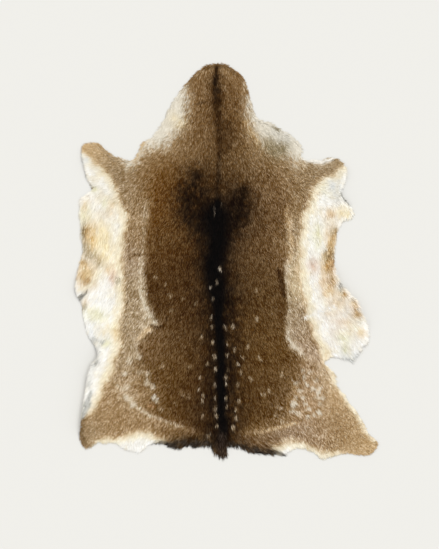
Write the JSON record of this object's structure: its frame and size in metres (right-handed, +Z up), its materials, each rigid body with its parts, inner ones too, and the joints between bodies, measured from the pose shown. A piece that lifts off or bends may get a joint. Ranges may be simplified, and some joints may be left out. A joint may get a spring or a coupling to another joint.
{
  "type": "fallow deer hide",
  "caption": "Whole tanned deer hide with its hair on, laid out flat, with neck, legs, pale belly edges, spotted back and black tail.",
  "frame": {"origin": "middle of the hide's bounding box, on the surface that it lies on", "axes": "+Y along the spine toward the neck, +X toward the hide's right side seen from above, +Z up through the hair"},
  "size_m": [0.88, 1.153, 0.025],
  "materials": {
    "hide": "matte hair on soft tanned skin"
  },
  "bodies": {
    "root": {"hide": "hide"}
  },
  "joints": []
}
